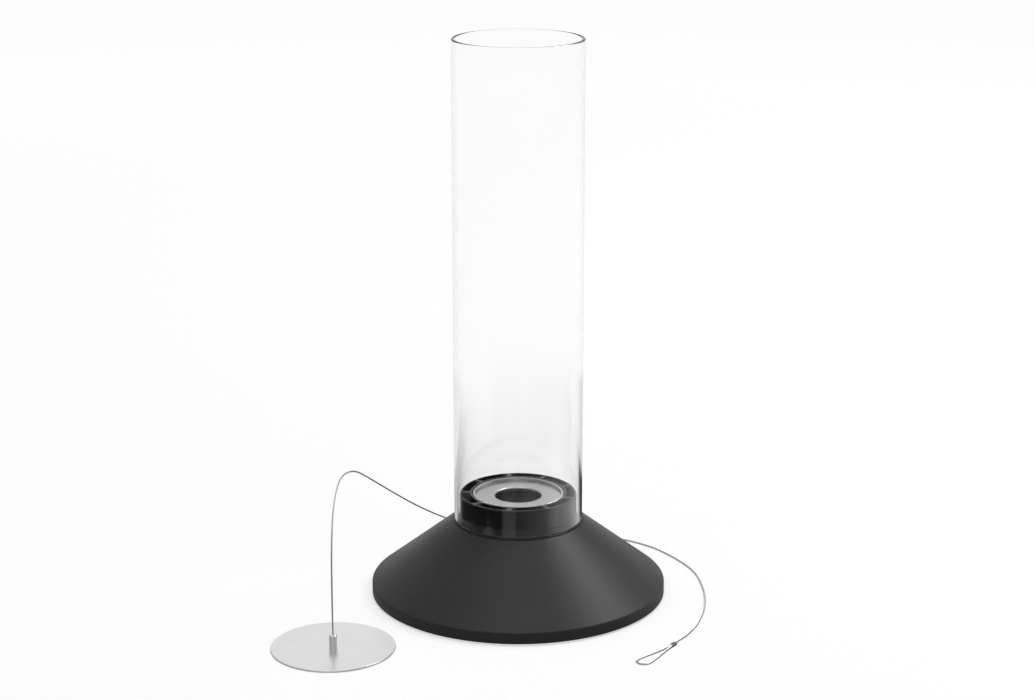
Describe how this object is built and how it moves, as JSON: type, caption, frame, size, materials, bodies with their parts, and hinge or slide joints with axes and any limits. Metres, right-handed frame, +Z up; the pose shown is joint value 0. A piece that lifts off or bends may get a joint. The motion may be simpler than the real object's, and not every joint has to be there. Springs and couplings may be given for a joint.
{
  "type": "tabletop fireplace",
  "caption": "Tabletop fireplace: glass cylinder on a dark conical base whose curved air vanes spin the flame of a fuel can, with a snuffer disc on a wire rope.",
  "frame": {"origin": "on the glass cylinder's axis, on the surface that the rubber feet stand on", "axes": "+Z up along the glass cylinder, +X to the right and +Y away from the viewer, so the snuffer disc lies at front left"},
  "size_m": [0.3969, 0.3539, 0.5238],
  "materials": {
    "shell_paint": "dark grey powder coat, fine satin",
    "insert_paint": "gloss black enamel",
    "plate_zinc": "zinc plated sheet",
    "fastener_steel": "bright turned steel",
    "foot_rubber": "matte moulded",
    "seal_silicone": "matte die-cut silicone",
    "chimney_glass": "clear borosilicate, fire-polished rims",
    "holder_steel": "deep-drawn stainless steel",
    "can_tin": "tinplate",
    "wool_ceramic": "ceramic fibre wool",
    "ring_steel": "satin stainless steel",
    "disc_steel": "fine satin stainless steel",
    "rope_steel": "stranded stainless wire",
    "crimp_aluminium": "pressed sleeve"
  },
  "bodies": {
    "base": {"cone_shell": "shell_paint", "base_plate": "plate_zinc", "rubber_feet": "foot_rubber", "clamp_posts": "fastener_steel", "plate_screws": "fastener_steel", "air_insert": "insert_paint", "can_holder": "holder_steel", "glass_seal": "seal_silicone"},
    "glass": {"glass_cylinder": "chimney_glass"},
    "burner": {"can_wall": "can_tin", "can_bottom": "can_tin", "can_neck_ring": "can_tin", "fuel_wool": "wool_ceramic"},
    "ring": {"flame_ring": "ring_steel"},
    "snuffer": {"snuffer_disc": "disc_steel", "disc_screw": "fastener_steel", "wire_ferrule": "disc_steel", "wire_rope": "rope_steel", "loop_crimp": "crimp_aluminium"}
  },
  "joints": [
    {"name": "glass_lift", "type": "slide", "parent": "base", "child": "glass", "axis": [0, 0, 1], "range_m": [0, 0.06]},
    {"name": "burner_lift", "type": "slide", "parent": "base", "child": "burner", "axis": [0, 0, 1], "range_m": [0, 0.105]},
    {"name": "flame_ring_lift", "type": "slide", "parent": "burner", "child": "ring", "axis": [0, 0, 1], "range_m": [0, 0.02]},
    {"name": "snuffer_lift", "type": "slide", "parent": "base", "child": "snuffer", "axis": [0, 0, 1], "range_m": [0, 0.54]}
  ]
}
